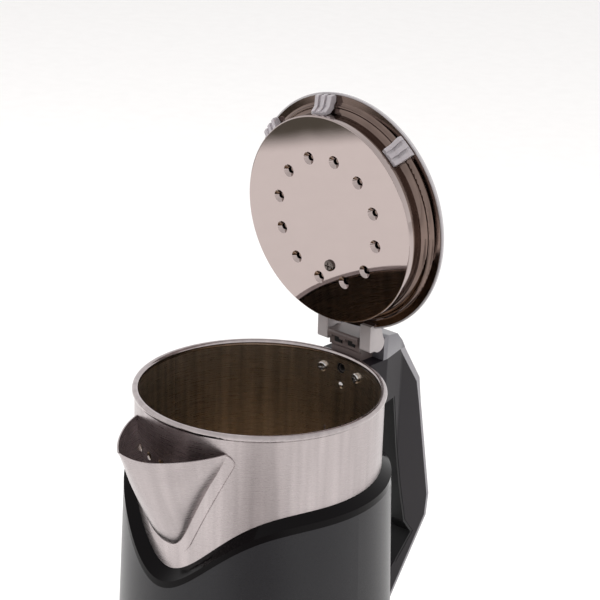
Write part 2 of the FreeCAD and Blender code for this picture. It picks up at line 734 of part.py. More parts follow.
def lid_bracket():
    left, right = arm_shape(0.0)
    bar = bracket_bar(0.0)
    wells = [rod(3.2, vec(s * (ARM_IN - 1), HINGE_Y, HINGE_Z), vec(s * (ARM_IN + 4.4), HINGE_Y, HINGE_Z))
             for s in (-1, 1)]
    return left.fuse([right, bar]).cut(wells + [hinge_rod(PIN_R + 0.06, ARM_OUT - 1.3)])


def lid_cover():
    outer = lid_lathe([(0, 5.05), (COVER_R, 5.05), (COVER_R, 5.8), (66.5, 7.3, 64.0, 8.7),
                       dome_arc(64.0, 8.7, 14.4)])
    inner = lid_lathe([(0, 4.0), (64.6, 4.0), (64.6, 5.6), (64.2, 6.7, 63.0, 7.2), dome_arc(63.0, 7.2, 12.4)])
    boss = Part.makeCylinder(4.0, 20.5, polar(LID_SCREW_R, 176, RIM_Z - 7.5))
    boss = boss.cut(Part.makeCylinder(1.55, 12, polar(LID_SCREW_R, 176, RIM_Z - 8)))
    groove = ring(56.6, 55.4, RIM_Z + 9.75, RIM_Z + 18)
    notch = block(-ARM_IN, ARM_IN, 64.4, 80, RIM_Z, RIM_Z + 14)
    body = open_lid(outer.cut(inner).fuse(boss).cut([groove, notch]))
    return body.cut(arm_shape(GAP) + [bracket_bar(GAP)])


def lid_pan():
    pan = lid_lathe([
        (0, -8.2), (54.8, -8.2), (56.5, -7.5, 57.2, -5.8), (57.2, -1.5), (57.8, 1.0, 59.6, 2.2),
        (60.3, 2.0, 61.0, 2.3), (61.6, 3.4, 62.6, 4.0), (FLANGE_R, 4.4), (FLANGE_R, 5.0), (62.4, 4.6),
        (61.0, 3.8, 60.5, 2.9), (60.0, 2.7, 59.4, 2.85), (57.2, 1.3, 56.6, -1.5), (56.6, -5.7),
        (56.0, -7.1, 54.6, -7.6), (0, -7.6)])
    hole = Part.makeCylinder(4.1, 4, polar(LID_SCREW_R, 176, RIM_Z - 10))
    return open_lid(pan.cut(hole)).cut(arm_shape(GAP))


def lid_plate():
    plate = lid_lathe([
        (0, -11.0), (57.5, -11.0), (58.07, -10.77, PLATE_R, -10.2), (PLATE_R, -7.9), (57.7, -7.9),
        (57.7, -10.3), (0, -10.3)])
    collars, drills = [], []
    for i in range(DRIP_HOLES):
        angle = LID_TWIST + 360.0 / DRIP_HOLES * (i + 0.5)
        place = polar(DRIP_RING, angle, PLATE_Z)
        collars.append(Part.makeCone(DISH_R + 0.6, HOLE_FOOT_R + 0.6, DISH_DEPTH, place))
        drills.append(Part.makeCone(DISH_R, HOLE_FOOT_R, DISH_DEPTH + 0.01, place))
    drills.append(Part.makeCylinder(1.6, 4, polar(LID_SCREW_R, 176, PLATE_Z - 2)))
    return open_lid(plate.fuse(collars).cut(drills))


def lid_screw():
    return open_lid(pan_screw(polar(LID_SCREW_R, 176, PLATE_Z - GAP), Z_AXIS, 9.0, 1.5, 3.2))


def wedge(profile, width, middle):
    """Part of a turned lid piece, width degrees wide about an angle from the spout."""
    points = []
    for r, z in profile:
        points.append(vec(0, -r, RIM_Z + z))
    face = Part.Face(Part.Wire(path_edges(points)))
    return turned(face.revolve(vec(0, 0, 0), Z_AXIS, width), middle - 0.5 * width)


def lid_clips():
    thin = [(57.35, -5.0), (58.6, -5.0), (60.6, -0.8), (66.0, 1.6), (66.0, 4.2), (62.8, 3.8), (61.4, 1.9),
            (59.7, 1.8), (57.5, -1.6)]
    rib = [(57.5, -5.0), (59.2, -5.0), (61.3, -1.8), (66.6, 0.6), (66.6, 3.4), (62.9, 3.4), (61.5, 1.7),
           (59.8, 1.6), (57.7, -1.9)]
    clips = []
    for angle in CLIP_ANGLES:
        middle = angle + LID_TWIST
        clip = wedge(thin, 10.4, middle)
        ribs = [wedge(rib, 2.2, middle + shift) for shift in (-4.1, 0.0, 4.1)]
        clips.append(open_lid(clip.fuse(ribs)))
    return clips


# --- power base -----------------------------------------------------------------------------
BASE_SCREWS = (0, 120, 240)
FOOT_RING = (58.0, 66.0)
SPIGOT_TOP = 31.4
INLET_Z = 9.4
INLET_R = 4.4
INLET_BORE = 3.1
LEAD_Z = 8.4
LEAD_R = 0.8


def base_top():
    r, z = BASE_R, BASE_TOP_Z
    body = lathe([
        (r - 0.6, 3.2), (r, 4.4), (r, 11.0), (r - 1.9, 16.2, r - 7.0, z - 0.6), (r - 10.0, z),
        (28.0, z), (26.5, z + 1.6), (14.3, z + 1.6), (14.3, z - 0.8), (25.5, z - 0.8), (27.0, z - 2.2),
        (r - 11.0, z - 2.2), (r - 4.0, 15.0, r - 2.3, 11.0), (r - 2.3, 3.2)])
    posts = [ring(4.2, 1.55, 6.1, z - 1.0, polar(48, a, 0)) for a in BASE_SCREWS]
    hole = rod(INLET_R + 0.05, vec(0, r - 12, INLET_Z), vec(0, r + 5, INLET_Z))
    return body.fuse(posts).cut(hole)


def base_bottom():
    inner, outer = FOOT_RING
    plate = lathe([
        (0, 1.2), (inner - 0.1, 1.2), (inner - 0.1, 2.2), (outer + 0.1, 2.2), (outer + 0.1, 1.2),
        (78.0, 1.2), (81.0, 3.1), (79.4, 3.1), (79.4, 5.0), (77.6, 5.0), (77.6, 3.1), (67.6, 3.1),
        (67.6, 3.8), (56.5, 3.8), (56.5, 3.1), (0, 3.1)])
    bosses = [Part.makeCylinder(4.8, 4.8, polar(48, a, 1.2)) for a in BASE_SCREWS]
    sinks = [Part.makeCylinder(3.3, 2.0, polar(48, a, 1.1)) for a in BASE_SCREWS]
    holes = [Part.makeCylinder(1.6, 10, polar(48, a, 1.0)) for a in BASE_SCREWS]
    inlet = rod(INLET_R + 1.1, vec(0, BASE_R - 10, INLET_Z), vec(0, BASE_R, INLET_Z))
    return plate.fuse(bosses).cut(sinks + holes + [inlet])


def base_foot_ring():
    inner, outer = FOOT_RING
    return lathe([(inner, 0.6), (inner + 0.6, 0), (outer - 0.6, 0), (outer, 0.6), (outer, 2.15), (inner, 2.15)])


def base_screws():
    return [pan_screw(polar(48, a, 3.1 - GAP), Z_AXIS, 9.5, 1.5, 2.9) for a in BASE_SCREWS]


def base_connector():
    body = lathe([
        (2.0, 9.0), (16.5, 9.0), (16.5, 12.0), (14.2, 12.0), (14.2, BASE_TOP_Z + 1.6), (SPIGOT_R, BASE_TOP_Z + 1.6),
        (SPIGOT_R, SPIGOT_TOP - 1.0), (SPIGOT_R - 1.0, SPIGOT_TOP), (4.6, SPIGOT_TOP), (4.6, 22.5), (2.0, 22.5)])
    grooves = [ring(13.0, 11.25, z, z + 1.6) for z in (23.6, 27.4)]
    return body.cut(grooves)


def base_contacts():
    bands = [ring(11.85, 11.3, z + GAP, z + 1.55) for z in (23.6, 27.4)]
    pin = lathe([(0, 8.2), (1.9, 8.2), (1.9, 29.0), (1.2, 30.0), (0, 30.2)])
    return bands + [pin]


def cord_inlet():
    y0, y1 = BASE_R - 6.0, BASE_R - 0.1
    bush = rod(INLET_R, vec(0, y0, INLET_Z), vec(0, y1, INLET_Z))
    flange = rod(INLET_R + 1.0, vec(0, y0 - 1.6, INLET_Z), vec(0, y0, INLET_Z))
    bore = rod(INLET_BORE, vec(0, y0 - 5, INLET_Z), vec(0, y1 + 5, INLET_Z))
    return bush.fuse(flange).cut(bore)


def base_leads():
    leads = []
    for x in (-4.0, 0.0, 4.0):
        start = vec(0.35 * x, BASE_R - 8.0, LEAD_Z)
        end = vec(x, 17.6, LEAD_Z)
        if x == 0:
            leads.append(rod(LEAD_R, start, end))
            continue
        path = rounded_wire([start, vec(x, 45, LEAD_Z), end], 60.0, closed=False)
        section = Part.Wire([Part.makeCircle(LEAD_R, start, vec(0.65 * x, 53 - BASE_R, 0))])
        leads.append(path.makePipeShell([section], True, False))
    return leads


NODES = (
    inner_pot, spout, outer_shell, shell_lip, heater_plate, heating_element, thermostat_control,
    bimetal_discs, bottom_cover, bottom_screws, jug_connector, handle_grip, handle_liner, handle_back,
    indicator_lens, switch_lever, lever_pin, handle_screws, wall_rivet, steam_tube, hinge_block,
    hinge_cap, hinge_pin, lid_springs, lid_latch, release_button, button_spring, lid_bracket,
    lid_cover, lid_pan, lid_plate, lid_screw, lid_clips, base_top, base_bottom, base_foot_ring,
    base_screws, base_connector, base_contacts, cord_inlet, base_leads)


def main():
    os.makedirs("parts", exist_ok=True)
    for make in NODES:
        save(make.__name__, make())


if __name__ == "__main__":
    main()
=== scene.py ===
import math

import bpy
from bpy.props import FloatProperty, FloatVectorProperty, PointerProperty
from mathutils import Matrix, Vector


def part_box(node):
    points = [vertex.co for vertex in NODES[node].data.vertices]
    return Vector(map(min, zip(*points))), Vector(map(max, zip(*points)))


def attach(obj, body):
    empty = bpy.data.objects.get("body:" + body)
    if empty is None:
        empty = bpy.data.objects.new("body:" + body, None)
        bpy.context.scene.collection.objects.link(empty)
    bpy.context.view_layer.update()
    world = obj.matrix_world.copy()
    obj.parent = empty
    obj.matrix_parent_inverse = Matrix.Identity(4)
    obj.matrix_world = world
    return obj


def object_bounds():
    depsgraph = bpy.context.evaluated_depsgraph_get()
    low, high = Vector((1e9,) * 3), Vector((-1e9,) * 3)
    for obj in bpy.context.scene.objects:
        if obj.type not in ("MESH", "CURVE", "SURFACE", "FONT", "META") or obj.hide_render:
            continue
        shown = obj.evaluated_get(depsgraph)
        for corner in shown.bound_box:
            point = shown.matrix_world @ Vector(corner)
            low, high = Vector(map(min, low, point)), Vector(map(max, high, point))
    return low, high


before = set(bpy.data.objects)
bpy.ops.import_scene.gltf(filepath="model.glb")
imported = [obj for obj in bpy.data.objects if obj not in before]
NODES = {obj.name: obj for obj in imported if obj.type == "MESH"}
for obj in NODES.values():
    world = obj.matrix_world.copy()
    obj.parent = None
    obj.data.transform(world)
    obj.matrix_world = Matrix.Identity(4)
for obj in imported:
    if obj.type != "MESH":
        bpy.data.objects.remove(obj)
CAD_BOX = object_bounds()

bl_info = {
    "name": "Electric Kettle Finish",
    "version": (1, 0, 0),
    "blender": (4, 5, 0),
    "location": "View3D > Sidebar > Kettle",
    "description": "Finishes the packed electric kettle: steel, plastics, level mark and studio",
    "category": "Object",
}

MM = 0.001

# The rim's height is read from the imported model, and the radii are those of the pot's wall.
RIM_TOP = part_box("inner_pot")[1].z
POT_OUTSIDE = 67.3 * MM
POT_INSIDE = POT_OUTSIDE - 1.0 * MM
RIM_POLISH = 4.2 * MM      # how far down from its top the rim is polished


def linear(code):
    """Linear RGBA from an sRGB hex value."""
    channels = [int(code[i:i + 2], 16) / 255 for i in (1, 3, 5)]
    return tuple(c / 12.92 if c <= 0.04045 else ((c + 0.055) / 1.055) ** 2.4 for c in channels) + (1.0,)


# --- sizes and colours that a user may change ------------------------------------------------
class KettleSizes(bpy.types.PropertyGroup):
    """Sizes of the details that the finish adds."""

    # Real brushing lines are about 0.1 mm apart and a mould's spark grain about 0.15 mm across. Both are
    # drawn coarser, so that they show.
    brush_spacing: FloatProperty(
        name="Brush spacing", description="Distance between brushing lines on the steel pot",
        default=0.5 * MM, min=0.0, unit="LENGTH")
    grain_size: FloatProperty(
        name="Moulding grain", description="Size of the fine spark texture on satin plastics",
        default=0.45 * MM, min=0.0, unit="LENGTH")
    edge_round: FloatProperty(
        name="Edge rounding", description="Radius of the moulded edges on handle and hinge pieces",
        default=0.7 * MM, min=0.0, unit="LENGTH")
    mark_length: FloatProperty(
        name="Level mark length", description="Length of the stamped level line inside the pot",
        default=26 * MM, min=0.0, unit="LENGTH")
    mark_stroke: FloatProperty(
        name="Level mark stroke", description="Width of the stamped strokes",
        default=0.9 * MM, min=0.0, unit="LENGTH")


def colour_property(name, description, code):
    return FloatVectorProperty(name=name, description=description, default=linear(code), size=4, min=0.0,
                               max=1.0, subtype="COLOR")


class KettleColours(bpy.types.PropertyGroup):
    """Colours of the finishes."""

    steel: colour_property("Brushed steel", "Stainless steel of pot and spout", "#bab1b1")
    # Painted reflection: a warm tint for the pot's steel inside, where it reflects itself; the steel is the
    # same as outside.
    painted_inside_reflection: colour_property("Pot inside", "Steel inside the pot, where it reflects itself", "#fff0dc")
    mirror: colour_property("Mirror steel", "Polished stainless plate under the lid", "#aea19e")
    # Painted shade: the pan's steel is given a dark brown colour, far darker than the same steel on the pot.
    drawn: colour_property("Drawn steel", "Drawn stainless pan of the lid", "#75655e")
    plated: colour_property("Plated steel", "Screws, pins and rivet", "#c8c5c4")
    lid_screw: colour_property("Lid screw", "Dark plated screw of the lid", "#6a625e")
    shell: colour_property("Shell black", "Outer shell of the jug", "#141317")
    lip: colour_property("Lip black", "Glossy lip between steel and shell", "#070506")
    handle: colour_property("Handle charcoal", "Body of the handle", "#1b171b")
    liner: colour_property("Liner black", "Inside strip of the grip", "#0d0c0e")
    trim: colour_property("Trim silver", "Lacquered back strip", "#8f8d91")
    cap: colour_property("Cap graphite", "Lacquered hinge cap and button", "#6d6b70")
    hinge: colour_property("Hinge taupe", "Hinge block", "#5d5250")
    arms: colour_property("Arm grey", "Arms of the lid's hinge", "#a39c9c")
    lid: colour_property("Lid grey", "Plastic cover of the lid", "#aba7a9")
    clip: colour_property("Clip milk white", "Clips round the lid", "#bdb6ba")
    floor: colour_property("Floor", "Pale studio floor", "#f9f8f7")


def sizes():
    return bpy.context.scene.kettle_sizes


def colours():
    return bpy.context.scene.kettle_colours


# --- helpers ---------------------------------------------------------------------------------
def toned(colour, factor):
    """A linear colour made lighter or darker."""
    return tuple(min(1.0, c * factor) for c in colour[:3]) + (1.0,)


def add(tree, kind, inputs=None, **settings):
    """Adds a shader node. Inputs maps a socket's name or number to a value or to an output to link."""
    node = tree.nodes.new("ShaderNode" + kind)
    for key, value in settings.items():
        setattr(node, key, value)
    for key, value in (inputs or {}).items():
        if isinstance(value, bpy.types.NodeSocket):
            tree.links.new(value, node.inputs[key])
        else:
            node.inputs[key].default_value = value
    return node


def new_material(name):
    material = bpy.data.materials.new(name)
    material.use_nodes = True
    tree = material.node_tree
    tree.nodes.clear()
    return material, tree


# Noise stays near its middle, so only this part of its range is used, spread over the whole.
NOISE_LOW = 0.3
NOISE_HIGH = 0.7


def unrolled(tree, radius):
    """Coordinates unrolled from a cylinder about Z: distance round it, height and reach from the axis."""
    place = add(tree, "TexCoord").outputs["Object"]
    parts = add(tree, "SeparateXYZ", {"Vector": place}).outputs
    angle = add(tree, "Math", {0: parts["Y"], 1: parts["X"]}, operation="ARCTAN2").outputs[0]
    length = add(tree, "Math", {0: angle, 1: radius}, operation="MULTIPLY").outputs[0]
    flat = add(tree, "CombineXYZ", {"X": parts["X"], "Y": parts["Y"]}).outputs[0]
    reach = add(tree, "VectorMath", {0: flat}, operation="LENGTH").outputs["Value"]
    return length, parts["Z"], reach


def grained(name, colour, tone, rough, grain, depth, drift=25 * MM, **constants):
    """One substance with a grain that moves its roughness and relief, and a slower drift of tone.

    tone is how far the colour swings either way, rough the lowest and highest roughness, grain and
    drift are the sizes of the two patterns, and depth is the relief. Constants go on the shader.
    """
    material, tree = new_material(name)
    place = add(tree, "TexCoord").outputs["Object"]
    grains = add(tree, "TexNoise", {"Vector": place, "Scale": 1 / grain, "Detail": 3.0}).outputs["Fac"]
    clouds = add(tree, "TexNoise", {"Vector": place, "Scale": 1 / drift, "Detail": 2.0}).outputs["Fac"]
    swing = add(tree, "MapRange", {"Value": clouds, "From Min": NOISE_LOW,
                                   "From Max": NOISE_HIGH}).outputs["Result"]
    base = add(tree, "Mix", {"Factor": swing, "A": toned(colour, 1 - tone), "B": toned(colour, 1 + tone)},
               data_type="RGBA").outputs[2]
    roughness = add(tree, "MapRange", {"Value": grains, "From Min": NOISE_LOW, "From Max": NOISE_HIGH,
                                       "To Min": rough[0], "To Max": rough[1]}).outputs["Result"]
    normal = add(tree, "Bump", {"Height": grains, "Distance": depth}).outputs["Normal"]
    sockets = {key.replace("_", " "): value for key, value in constants.items()}
    shader = add(tree, "BsdfPrincipled", {"Base Color": base, "Roughness": roughness, "Normal": normal,
                                          **sockets})
    add(tree, "OutputMaterial", {"Surface": shader.outputs["BSDF"]})
    return material


# --- metals ----------------------------------------------------------------------------------
BAND_WIDTH = 5 * MM
LINE_STRETCH = 0.03        # a brushing line's width over its length
BAND_STRETCH = 0.05        # an upright band's width over its length


def brushed_stainless(name, outside, inside):
    """Stainless sheet, brushed round the pot: highlights pull out into upright bands. The colour swings in
    upright bands too, partly the sheet's own tone and partly painted reflection streaks; inside, where the
    steel reflects itself, it takes a painted reflection of warm dark streaks."""
    material, tree = new_material(name)
    length, height, reach = unrolled(tree, POT_OUTSIDE)
    # Lines run round the pot, so they are long one way and one spacing wide the other.
    along = add(tree, "Math", {0: length, 1: LINE_STRETCH}, operation="MULTIPLY").outputs[0]
    stretched = add(tree, "CombineXYZ", {"X": along, "Y": height}).outputs[0]
    lines = add(tree, "TexNoise", {"Vector": stretched, "Scale": 1 / sizes().brush_spacing, "Detail": 3.0,
                                   "Roughness": 0.7}).outputs["Fac"]
    # Upright bands of slightly different tone: partly the rolled sheet's own tone, partly painted reflection
    # streaks, deeper inside the pot.
    upward = add(tree, "Math", {0: height, 1: BAND_STRETCH}, operation="MULTIPLY").outputs[0]
    upright = add(tree, "CombineXYZ", {"X": length, "Y": upward}).outputs[0]
    bands = add(tree, "TexNoise", {"Vector": upright, "Scale": 1 / BAND_WIDTH, "Detail": 4.0}).outputs["Fac"]
    swing = add(tree, "MapRange", {"Value": bands, "From Min": NOISE_LOW,
                                   "From Max": NOISE_HIGH}).outputs["Result"]
    # Painted reflection inside the pot: the warm inside colour holds on the wall's inner face and gives way
    # to the outside colour at the rim.
    wall = add(tree, "MapRange", {"Value": reach, "From Min": POT_INSIDE - 0.2 * MM,
                                  "From Max": POT_INSIDE + 0.5 * MM}).outputs["Result"]
    rolled = add(tree, "MapRange", {"Value": height, "From Min": RIM_TOP - RIM_POLISH,
                                    "From Max": RIM_TOP - 0.8 * RIM_POLISH}).outputs["Result"]
    within = add(tree, "Math", {0: wall, 1: rolled}, operation="MAXIMUM").outputs[0]
    outer = add(tree, "Mix", {"Factor": swing, "A": toned(outside, 0.8), "B": outside},
                data_type="RGBA").outputs[2]
    # Painted reflection: warm colour with darker streaks for the steel inside reflecting itself.
    inner_painted_reflection = add(tree, "Mix", {"Factor": swing, "A": toned(inside, 0.62), "B": inside},
                data_type="RGBA").outputs[2]
    base = add(tree, "Mix", {"Factor": within, "A": inner_painted_reflection, "B": outer}, data_type="RGBA").outputs[2]
    # The rolled rim is polished by the rolling, so it is smoother.
    rim = add(tree, "MapRange", {"Value": rolled, "To Min": 1.0, "To Max": 0.4}).outputs["Result"]
    brushed = add(tree, "MapRange", {"Value": lines, "From Min": NOISE_LOW, "From Max": NOISE_HIGH,
                                     "To Min": 0.25, "To Max": 0.31}).outputs["Result"]
    rough = add(tree, "Math", {0: brushed, 1: rim}, operation="MULTIPLY").outputs[0]
    tangent = add(tree, "Tangent", direction_type="RADIAL", axis="Z").outputs[0]
    normal = add(tree, "Bump", {"Height": lines, "Distance": 0.0025 * MM}).outputs["Normal"]
    shader = add(tree, "BsdfPrincipled", {"Base Color": base, "Metallic": 1.0, "Roughness": rough,
                                          "Anisotropic": 0.6, "Tangent": tangent, "Normal": normal})
    add(tree, "OutputMaterial", {"Surface": shader.outputs["BSDF"]})
    return material


def mirror_stainless(name, colour):
    """Stainless sheet polished to a mirror: faint wipe marks and a very slight waviness from pressing."""
    material, tree = new_material(name)
    place = add(tree, "TexCoord").outputs["Object"]
    waves = add(tree, "TexNoise", {"Vector": place, "Scale": 1 / (40 * MM), "Detail": 1.0}).outputs["Fac"]
    wipes = add(tree, "TexNoise", {"Vector": place, "Scale": 1 / (9 * MM), "Detail": 4.0}).outputs["Fac"]
    base = add(tree, "Mix", {"Factor": wipes, "A": toned(colour, 0.96), "B": colour},
               data_type="RGBA").outputs[2]
    rough = add(tree, "MapRange", {"Value": wipes, "From Min": 0.35, "From Max": 0.7,
                                   "To Min": 0.02, "To Max": 0.045}).outputs["Result"]
    normal = add(tree, "Bump", {"Height": waves, "Distance": 0.05 * MM}).outputs["Normal"]
    shader = add(tree, "BsdfPrincipled", {"Base Color": base, "Metallic": 1.0, "Roughness": rough,
                                          "Normal": normal})
    add(tree, "OutputMaterial", {"Surface": shader.outputs["BSDF"]})
    return material


def lacquered_plastic(name, colour):
    """ABS with a silver-grey metallic lacquer: fine flakes that sparkle softly."""
    material, tree = new_material(name)
    place = add(tree, "TexCoord").outputs["Object"]
    # Flakes are drawn at 0.25 mm, coarser than real ones, so that they show.
    flakes = add(tree, "TexVoronoi", {"Vector": place, "Scale": 1 / (0.25 * MM)}).outputs["Distance"]
    base = add(tree, "Mix", {"Factor": flakes, "A": toned(colour, 0.8), "B": toned(colour, 1.15)},
               data_type="RGBA").outputs[2]
    normal = add(tree, "Bump", {"Height": flakes, "Distance": 0.006 * MM}).outputs["Normal"]
    shader = add(tree, "BsdfPrincipled", {"Base Color": base, "Metallic": 0.45, "Roughness": 0.34,
                                          "Coat Weight": 0.25, "Coat Roughness": 0.12, "Normal": normal})
    add(tree, "OutputMaterial", {"Surface": shader.outputs["BSDF"]})
    return material


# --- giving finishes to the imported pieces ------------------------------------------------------
def finish(material, *names):
    """Puts a material on every slot of the named CAD nodes."""
    for name in names:
        for slot in NODES[name].material_slots:
            slot.material = material


SAME_POINT = 0.002 * MM
FLAT_ANGLE = math.radians(0.6)     # faces that differ by less are one flat face
SHARP_ANGLE = math.radians(28)     # edges that turn by more are rounded


def round_edges(width, *names):
    """Rounds the moulded edges of flat-sided CAD nodes: joins their flat faces, then bevels them."""
    for name in names:
        node = NODES[name]
        weld = node.modifiers.new("join doubled points", "WELD")
        weld.merge_threshold = SAME_POINT
        flat = node.modifiers.new("join flat faces", "DECIMATE")
        flat.decimate_type = "DISSOLVE"
        flat.angle_limit = FLAT_ANGLE
        bevel = node.modifiers.new("moulded edges", "BEVEL")
        bevel.width = width
        bevel.segments = 3
        bevel.limit_method = "ANGLE"
        bevel.angle_limit = SHARP_ANGLE
        bevel.harden_normals = True


# --- level mark ----------------------------------------------------------------------------
TICKS = 3                  # short strokes that stand on the line, spread evenly along it
TICK_SHARE = 0.12          # a tick's height over the line's length
STROKE_STEPS = 8           # pieces of a stroke, so that it follows the wall
MARK_START = 188.6         # degrees from the spout to the mark's left end
MARK_FOOT = -50.85 * MM    # from the rim
MARK_RISE = 0.2 * MM       # of the strokes' middle line off the wall


def on_wall(across, up):
    """A point just off the inside wall, at a distance across and up from the mark's lower left."""
    angle = math.radians(MARK_START) - across / POT_INSIDE
    radius = POT_INSIDE - MARK_RISE
    return Vector((radius * math.sin(angle), -radius * math.cos(angle), RIM_TOP + MARK_FOOT + up))


def mark_strokes():
    """All strokes of the level mark, each from one (across, up) to another, in metres."""
    length = sizes().mark_length
    strokes = [((0.0, 0.0), (length, 0.0))]
    for i in range(TICKS):
        across = i * length / (TICKS - 1)
        strokes.append(((across, 0.0), (across, TICK_SHARE * length)))
    return strokes


def make_level_mark():
    """Stamped level mark: a line with ticks, in thin rounded strokes raised from the pot's inside wall."""
    curve = bpy.data.curves.new("level_mark_strokes", "CURVE")
    curve.dimensions = "3D"
    curve.bevel_depth = 0.5 * sizes().mark_stroke
    curve.bevel_resolution = 3
    curve.use_fill_caps = True
    for (x0, y0), (x1, y1) in mark_strokes():
        spline = curve.splines.new("POLY")
        spline.points.add(STROKE_STEPS)
        for i, point in enumerate(spline.points):
            t = i / STROKE_STEPS
            point.co = (*on_wall(x0 + (x1 - x0) * t, y0 + (y1 - y0) * t), 1.0)
    helper = bpy.data.objects.new("level_mark_helper", curve)
    bpy.context.scene.collection.objects.link(helper)
    bpy.context.view_layer.update()
    mesh = bpy.data.meshes.new_from_object(helper.evaluated_get(bpy.context.evaluated_depsgraph_get()))
    bpy.data.objects.remove(helper)
    for polygon in mesh.polygons:
        polygon.use_smooth = True
    mark = bpy.data.objects.new("level_mark", mesh)
    bpy.context.scene.collection.objects.link(mark)
    mesh.materials.clear()
    # Steel, stamped: the punch leaves the strokes bright and matt.
    mesh.materials.append(grained("stainless_stamped", colours().steel, 0.08, (0.38, 0.5), 0.4 * MM,
                                  0.004 * MM, drift=3 * MM, Metallic=1.0))
    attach(mark, "jug")


# --- operators -------------------------------------------------------------------------------
class KETTLE_OT_pot(bpy.types.Operator):
    """Brushes the steel pot and the spout, and stamps the level mark inside."""

    bl_idname = "kettle.pot"
    bl_label = "Pot and spout"

    def execute(self, context):
        steel = colours().steel
        finish(brushed_stainless("stainless_brushed_pot", steel, colours().painted_inside_reflection), "inner_pot")
        finish(brushed_stainless("stainless_brushed_spout", steel, steel), "spout")
        make_level_mark()
        return {"FINISHED"}


class KETTLE_OT_shell(bpy.types.Operator):
    """Gives the outer shell, its glossy lip and the bottom cover their black plastic."""

    bl_idname = "kettle.shell"
    bl_label = "Shell and lip"

    def execute(self, context):
        # ABS, moulded satin: nearly black, with broad soft highlights down its sides.
        finish(grained("abs_moulded_satin_black", colours().shell, 0.06, (0.26, 0.33), sizes().grain_size,
                       0.002 * MM, Specular_IOR_Level=0.34), "outer_shell", "bottom_cover")
        # ABS, moulded in a polished tool: deep black with thin sharp highlights.
        finish(grained("abs_moulded_gloss_black", colours().lip, 0.05, (0.09, 0.13), 2 * MM, 0.001 * MM,
                       Specular_IOR_Level=0.09), "shell_lip")
        return {"FINISHED"}


class KETTLE_OT_handle(bpy.types.Operator):
    """Finishes the handle: charcoal body, black liner, silver back strip, switch and lens."""

    bl_idname = "kettle.handle"
    bl_label = "Handle"

    def execute(self, context):
        round_edges(sizes().edge_round, "handle_grip", "handle_back")
        # ABS, moulded with a fine spark grain: charcoal that stays soft in strong light.
        finish(grained("abs_moulded_charcoal", colours().handle, 0.05, (0.36, 0.46), sizes().grain_size,
                       0.006 * MM, Specular_IOR_Level=0.16), "handle_grip")
        # Thermoplastic elastomer, moulded: black and matt, with a slight bloom where hands touch it.
        finish(grained("elastomer_moulded_black", colours().liner, 0.1, (0.42, 0.54), sizes().grain_size,
                       0.012 * MM, drift=12 * MM, Specular_IOR_Level=0.3), "handle_liner")
        finish(lacquered_plastic("abs_lacquered_silver", colours().trim), "handle_back")
        # ABS, moulded in a polished tool: a small glossy black lever.
        finish(grained("abs_moulded_gloss_lever", linear("#161517"), 0.05, (0.18, 0.25), 1 * MM, 0.002 * MM),
               "switch_lever")
        # Acrylic, moulded: a clear red light pipe with faint swirls.
        finish(grained("acrylic_moulded_red", linear("#c8553c"), 0.05, (0.06, 0.1), 2 * MM, 0.01 * MM,
                       IOR=1.49, Transmission_Weight=0.7), "indicator_lens")
        return {"FINISHED"}


class KETTLE_OT_hinge(bpy.types.Operator):
    """Finishes the hinge block, its cap, the lid's arms, the latch and the release button."""

    bl_idname = "kettle.hinge"
    bl_label = "Hinge and latch"

    def execute(self, context):
        round_edges(sizes().edge_round, "hinge_block", "hinge_cap", "lid_bracket", "release_button")
        # Polyamide, moulded: warm grey, satin, a little cloudy.
        finish(grained("polyamide_moulded_taupe", colours().hinge, 0.06, (0.34, 0.44), sizes().grain_size,
                       0.008 * MM, drift=8 * MM), "hinge_block")
        # Polyamide again, moulded in a lighter grey: paler where it catches the light.
        finish(grained("polyamide_moulded_light", colours().arms, 0.04, (0.3, 0.4), sizes().grain_size,
                       0.006 * MM, drift=8 * MM), "lid_bracket")
        finish(lacquered_plastic("abs_lacquered_graphite", colours().cap), "hinge_cap", "release_button")
        # Acetal, moulded: slick and nearly black.
        finish(grained("acetal_moulded_dark", linear("#141314"), 0.08, (0.36, 0.44), sizes().grain_size,
                       0.006 * MM), "lid_latch")
        return {"FINISHED"}


class KETTLE_OT_lid(bpy.types.Operator):
    """Finishes the lid: mirror plate, drawn pan, plastic cover and milky clips."""

    bl_idname = "kettle.lid"
    bl_label = "Lid"

    def execute(self, context):
        finish(mirror_stainless("stainless_mirror_polished", colours().mirror), "lid_plate")
        # Stainless sheet, deep-drawn and polished: its ridges show dark and bright rings. Its dark brown
        # colour is painted shade, far darker than the same steel on the pot.
        finish(grained("stainless_drawn_painted_shade", colours().drawn, 0.12, (0.07, 0.11), 0.6 * MM, 0.0008 * MM,
                       drift=12 * MM, Metallic=1.0), "lid_pan")
        # ABS, moulded glossy: light grey, very even.
        finish(grained("abs_moulded_light_grey", colours().lid, 0.02, (0.2, 0.27), sizes().grain_size,
                       0.002 * MM, drift=60 * MM), "lid_cover")
        # Polycarbonate, moulded milky: light scatters a few millimetres inside it.
        finish(grained("polycarbonate_moulded_milky", colours().clip, 0.03, (0.18, 0.26), 1.5 * MM, 0.01 * MM,
                       drift=4 * MM, IOR=1.58, Subsurface_Weight=0.35, Subsurface_Radius=(1.0, 0.95, 0.9),
                       Subsurface_Scale=2.5 * MM, Transmission_Weight=0.4), "lid_clips")
        return {"FINISHED"}


